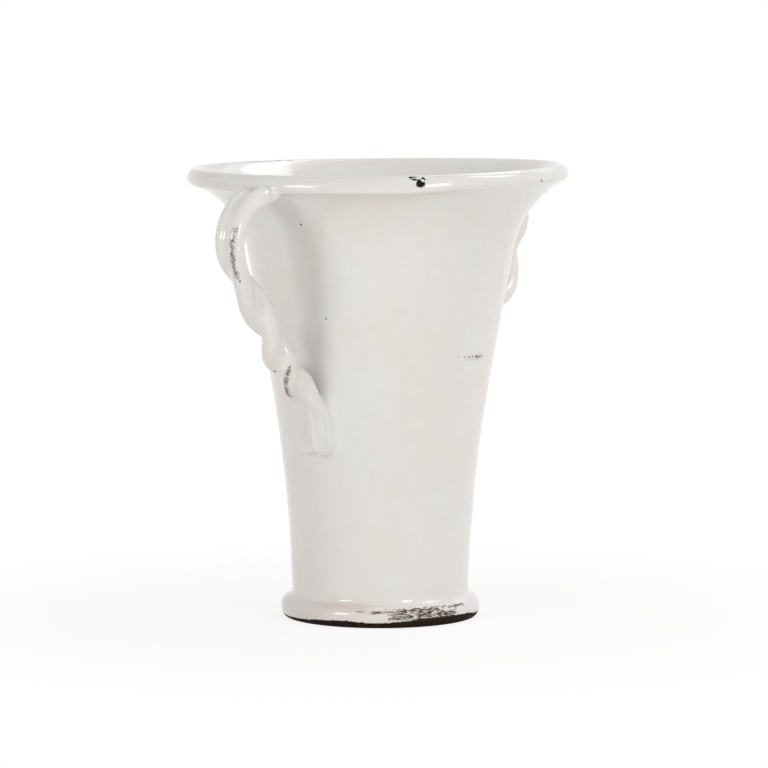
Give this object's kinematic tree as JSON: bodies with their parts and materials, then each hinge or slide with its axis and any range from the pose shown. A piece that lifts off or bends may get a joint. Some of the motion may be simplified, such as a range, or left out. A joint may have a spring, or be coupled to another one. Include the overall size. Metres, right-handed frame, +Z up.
{
  "type": "ceramic vase",
  "caption": "Tall thrown vase with a flared mouth, a rolled lip, a beaded foot and twisted rope handles, in white glaze over dark clay.",
  "frame": {"origin": "centre of the flat underside, on the axis of the thrown body", "axes": "+Z up along the body's axis, +X out through one handle and -X out through the other, +Y across the handles"},
  "size_m": [0.3286, 0.2568, 0.304],
  "materials": {
    "glaze": "gloss"
  },
  "bodies": {
    "root": {"vase": "glaze"}
  },
  "joints": []
}
